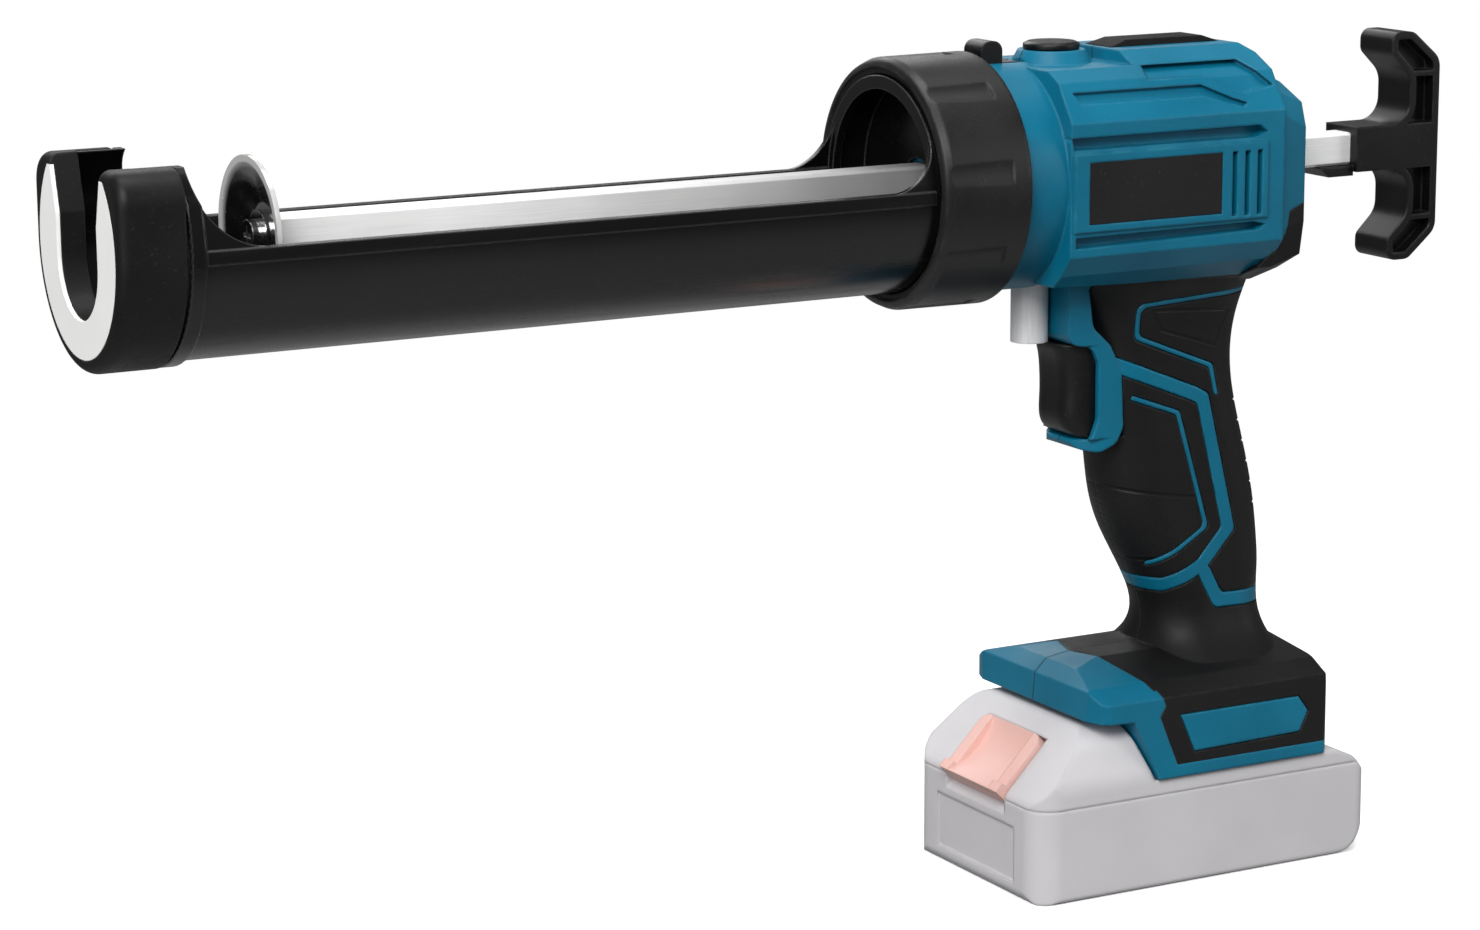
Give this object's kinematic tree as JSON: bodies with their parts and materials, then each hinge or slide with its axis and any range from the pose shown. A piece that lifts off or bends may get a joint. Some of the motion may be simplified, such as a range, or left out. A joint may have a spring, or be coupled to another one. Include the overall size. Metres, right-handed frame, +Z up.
{
  "type": "cordless caulking tool",
  "caption": "Cordless caulking tool: open half-tube cradle with a slotted nose, rack-driven pusher rod with a T grip, pistol grip housing and a slide-on battery.",
  "frame": {"origin": "middle of the battery's standing face, on the tool's mid-plane", "axes": "+X back along the barrel from the nose to the T grip, +Y to the tool's right, +Z up"},
  "size_m": [0.462, 0.078, 0.268],
  "materials": {
    "nose_plastic": "fine grained black moulding",
    "nose_face": "plain white insert",
    "cradle_paint": "gloss black paint on aluminium sheet",
    "collar_plastic": "matte charcoal moulding",
    "pusher_chrome": "bright plated pressing",
    "rod_plating": "bright plated bar brushed along its length",
    "trim_plastic": "satin black moulding",
    "teal_shell": "moulded teal plastic with a fine grain",
    "grip_rubber": "soft overmoulded skin with a fine hatch",
    "plunger_metal": "satin turned metal",
    "steel": "plain machined steel",
    "motor_can": "grey zinc can",
    "board_green": "bare circuit board",
    "bush_brass": "plain brass",
    "battery_grey": "pale grey moulding",
    "latch_salmon": "salmon moulding",
    "cell_wrap": "metal cans in shrunk wrap"
  },
  "bodies": {
    "housing": {"housing_left": "teal_shell", "housing_right": "teal_shell", "grip_left": "grip_rubber", "grip_right": "grip_rubber", "rear_cover": "teal_shell", "top_pad": "trim_plastic", "nameplates": "trim_plastic", "housing_screws": "steel", "trigger_switch": "trim_plastic", "dial_potentiometer": "trim_plastic", "control_board": "board_green", "terminal_block": "trim_plastic", "motor": "motor_can", "gearbox": "motor_can", "gear_plate_left": "steel", "gear_plate_right": "steel", "plate_posts": "steel", "shaft_bushes": "bush_brass", "rod_guide_front": "trim_plastic", "rod_guide_rear": "trim_plastic", "release_spring": "steel"},
    "barrel": {"cradle": "cradle_paint", "front_cap": "nose_plastic", "front_face": "nose_face"},
    "collar_ring": {"collar": "collar_plastic"},
    "rod": {"rack_rod": "rod_plating", "pusher_plate": "pusher_chrome", "pusher_washer": "pusher_chrome", "pusher_screw": "pusher_chrome", "t_handle": "trim_plastic", "t_handle_pin": "steel"},
    "pinion_set": {"pinion": "steel", "wheel_gear": "steel", "pinion_shaft": "steel"},
    "drive_set": {"drive_gear": "steel"},
    "trigger_piece": {"trigger": "trim_plastic"},
    "dial_piece": {"speed_dial": "trim_plastic"},
    "release_piece": {"release_button": "plunger_metal"},
    "catch_piece": {"lock_catch": "trim_plastic"},
    "battery": {"battery_case_lower": "battery_grey", "battery_case_upper": "battery_grey", "battery_cells": "cell_wrap", "battery_terminals": "bush_brass", "battery_screws": "steel"},
    "latch_piece": {"battery_latch": "latch_salmon"}
  },
  "joints": [
    {"name": "rod_slide", "type": "slide", "parent": "housing", "child": "rod", "axis": [1, 0, 0], "range_m": [-0.02, 0.19]},
    {"name": "pinion_turn", "type": "hinge", "parent": "housing", "child": "pinion_set", "pos_m": [-0.029, 0, 0.2128], "axis": [0, 1, 0], "range_deg": [-130, 1220]},
    {"name": "drive_turn", "type": "hinge", "parent": "housing", "child": "drive_set", "pos_m": [-0.00753, 0, 0.208], "axis": [0, 1, 0], "range_deg": [-2620, 290]},
    {"name": "trigger_pull", "type": "slide", "parent": "housing", "child": "trigger_piece", "axis": [1, 0, 0], "range_m": [0, 0.007], "stiffness_N_per_m": 900, "springref_m": -0.004},
    {"name": "dial_turn", "type": "hinge", "parent": "housing", "child": "dial_piece", "pos_m": [-0.0376, 0, 0.264], "axis": [0, 0, 1], "range_deg": [-140, 140]},
    {"name": "release_press", "type": "slide", "parent": "housing", "child": "release_piece", "axis": [0, 0, 1], "range_m": [0, 0.005], "stiffness_N_per_m": 900, "springref_m": -0.004, "deforming": ["release_spring"]},
    {"name": "catch_slide", "type": "slide", "parent": "housing", "child": "catch_piece", "axis": [1, 0, 0], "range_m": [0, 0.003], "stiffness_N_per_m": 600, "springref_m": -0.003},
    {"name": "collar_turn", "type": "hinge", "parent": "housing", "child": "collar_ring", "pos_m": [-0.084, 0, 0.226], "axis": [1, 0, 0], "range_deg": [0, 60]},
    {"name": "barrel_swivel", "type": "hinge", "parent": "housing", "child": "barrel", "pos_m": [-0.099, 0, 0.226], "axis": [1, 0, 0], "continuous": true},
    {"name": "battery_slide", "type": "slide", "parent": "housing", "child": "battery", "axis": [-1, 0, 0], "range_m": [0, 0.09]},
    {"name": "latch_press", "type": "slide", "parent": "battery", "child": "latch_piece", "axis": [-0.6968, 0, -0.7172], "range_m": [0, 0.004], "stiffness_N_per_m": 900, "springref_m": -0.003}
  ],
  "couplings": [
    {"joint": "pinion_turn", "follows": "rod_slide", "rad_per_m": 111.11},
    {"joint": "drive_turn", "follows": "rod_slide", "rad_per_m": -238.1}
  ]
}
